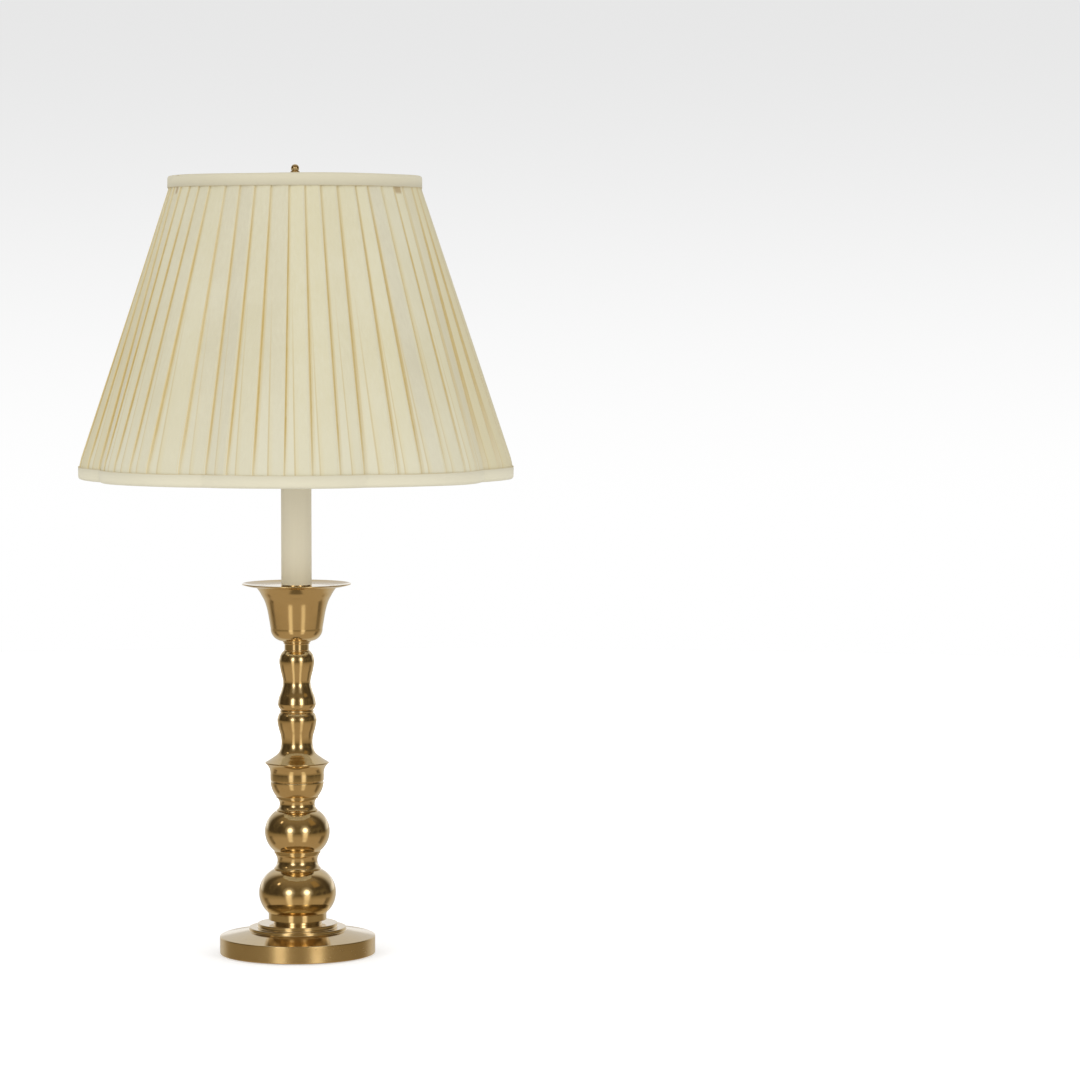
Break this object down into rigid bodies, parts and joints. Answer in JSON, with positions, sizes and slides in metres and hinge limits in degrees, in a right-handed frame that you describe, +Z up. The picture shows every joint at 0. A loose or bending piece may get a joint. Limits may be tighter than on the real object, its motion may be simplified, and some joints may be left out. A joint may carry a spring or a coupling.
{
  "type": "candlestick table lamp",
  "caption": "Table lamp in the form of a turned brass candlestick, with a candle sleeve, harp and pleated cloth shade with a scalloped hem.",
  "frame": {"origin": "centre of the felt face that the lamp stands on, on the axis of the stem", "axes": "+Z up along the stem towards the finial, -Y to the front, +X to the right seen from the front"},
  "size_m": [0.3906, 0.3906, 0.7101],
  "materials": {
    "polished_brass": "mirror polished, lacquered",
    "satin_brass": "satin brushed rim, polished top",
    "harp_brass": "drawn wire, lightly polished",
    "holder_brass": "thin stamped brass shell, bright",
    "frame_brass": "brass plated wire",
    "frame_wire": "white painted wire, wrapped",
    "steel": "zinc plated",
    "cast_weight": "rough cast",
    "green_felt": "wool felt",
    "black_plastic": "moulded, matt",
    "ivory_sleeve": "smooth ivory candle cover, satin",
    "fibre_liner": "vulcanised fibre",
    "frosted_glass": "soft white frosted",
    "bulb_metal": "rolled screw cap",
    "pleated_cloth": "plain woven, knife pleated, ivory",
    "lining_cloth": "plain woven lining, off-white",
    "trim_tape": "folded bias tape, ivory"
  },
  "bodies": {
    "stand": {"felt_pad": "green_felt", "base_weight": "cast_weight", "base_plate": "satin_brass", "cord_bushing": "black_plastic", "rod_washer": "steel", "rod_nut": "steel", "threaded_rod": "steel", "foot_drum": "polished_brass", "lower_bulb": "polished_brass", "lower_spool": "polished_brass", "upper_bulb": "polished_brass", "upper_spool": "polished_brass", "urn_cup": "polished_brass", "lower_column": "polished_brass", "column_ring": "polished_brass", "upper_column": "polished_brass", "neck_collar": "polished_brass", "candle_cup": "polished_brass", "drip_pan": "polished_brass", "candle_seat": "polished_brass", "cup_nut": "steel", "candle_sleeve": "ivory_sleeve", "sleeve_cap": "polished_brass", "harp_saddle": "harp_brass", "harp_wire": "harp_brass", "harp_stud": "harp_brass", "socket_cap": "holder_brass", "socket_shell": "holder_brass", "socket_liner": "fibre_liner", "switch_block": "black_plastic", "screw_shell": "holder_brass", "centre_contact": "holder_brass", "terminal_screws": "holder_brass"},
    "shade": {"shade_hub": "frame_brass", "spider_arms": "frame_brass", "top_ring": "frame_wire", "bottom_ring": "frame_wire", "shade_ribs": "frame_wire", "shade_lining": "lining_cloth", "shade_cover": "pleated_cloth", "top_trim": "trim_tape", "bottom_trim": "trim_tape"},
    "finial": {"finial": "polished_brass"},
    "bulb": {"bulb_glass": "frosted_glass", "bulb_cap": "bulb_metal", "bulb_tip": "black_plastic"},
    "switch": {"switch_spindle": "holder_brass", "switch_knob": "black_plastic"},
    "left_ferrule": {"left_ferrule": "harp_brass"},
    "right_ferrule": {"right_ferrule": "harp_brass"}
  },
  "joints": [
    {"name": "shade_turn", "type": "hinge", "parent": "stand", "child": "shade", "pos_m": [0, 0, 0.69], "axis": [0, 0, 1], "continuous": true},
    {"name": "finial_turn", "type": "hinge", "parent": "stand", "child": "finial", "pos_m": [0, 0, 0.6933], "axis": [0, 0, 1], "continuous": true},
    {"name": "bulb_turn", "type": "hinge", "parent": "stand", "child": "bulb", "pos_m": [0, 0, 0.53], "axis": [0, 0, 1], "continuous": true},
    {"name": "switch_turn", "type": "hinge", "parent": "stand", "child": "switch", "pos_m": [0, -0.0184, 0.5087], "axis": [0, -1, 0], "continuous": true},
    {"name": "left_ferrule_slide", "type": "slide", "parent": "stand", "child": "left_ferrule", "axis": [0, 0, 1], "range_m": [0, 0.012]},
    {"name": "right_ferrule_slide", "type": "slide", "parent": "stand", "child": "right_ferrule", "axis": [0, 0, 1], "range_m": [0, 0.012]}
  ]
}
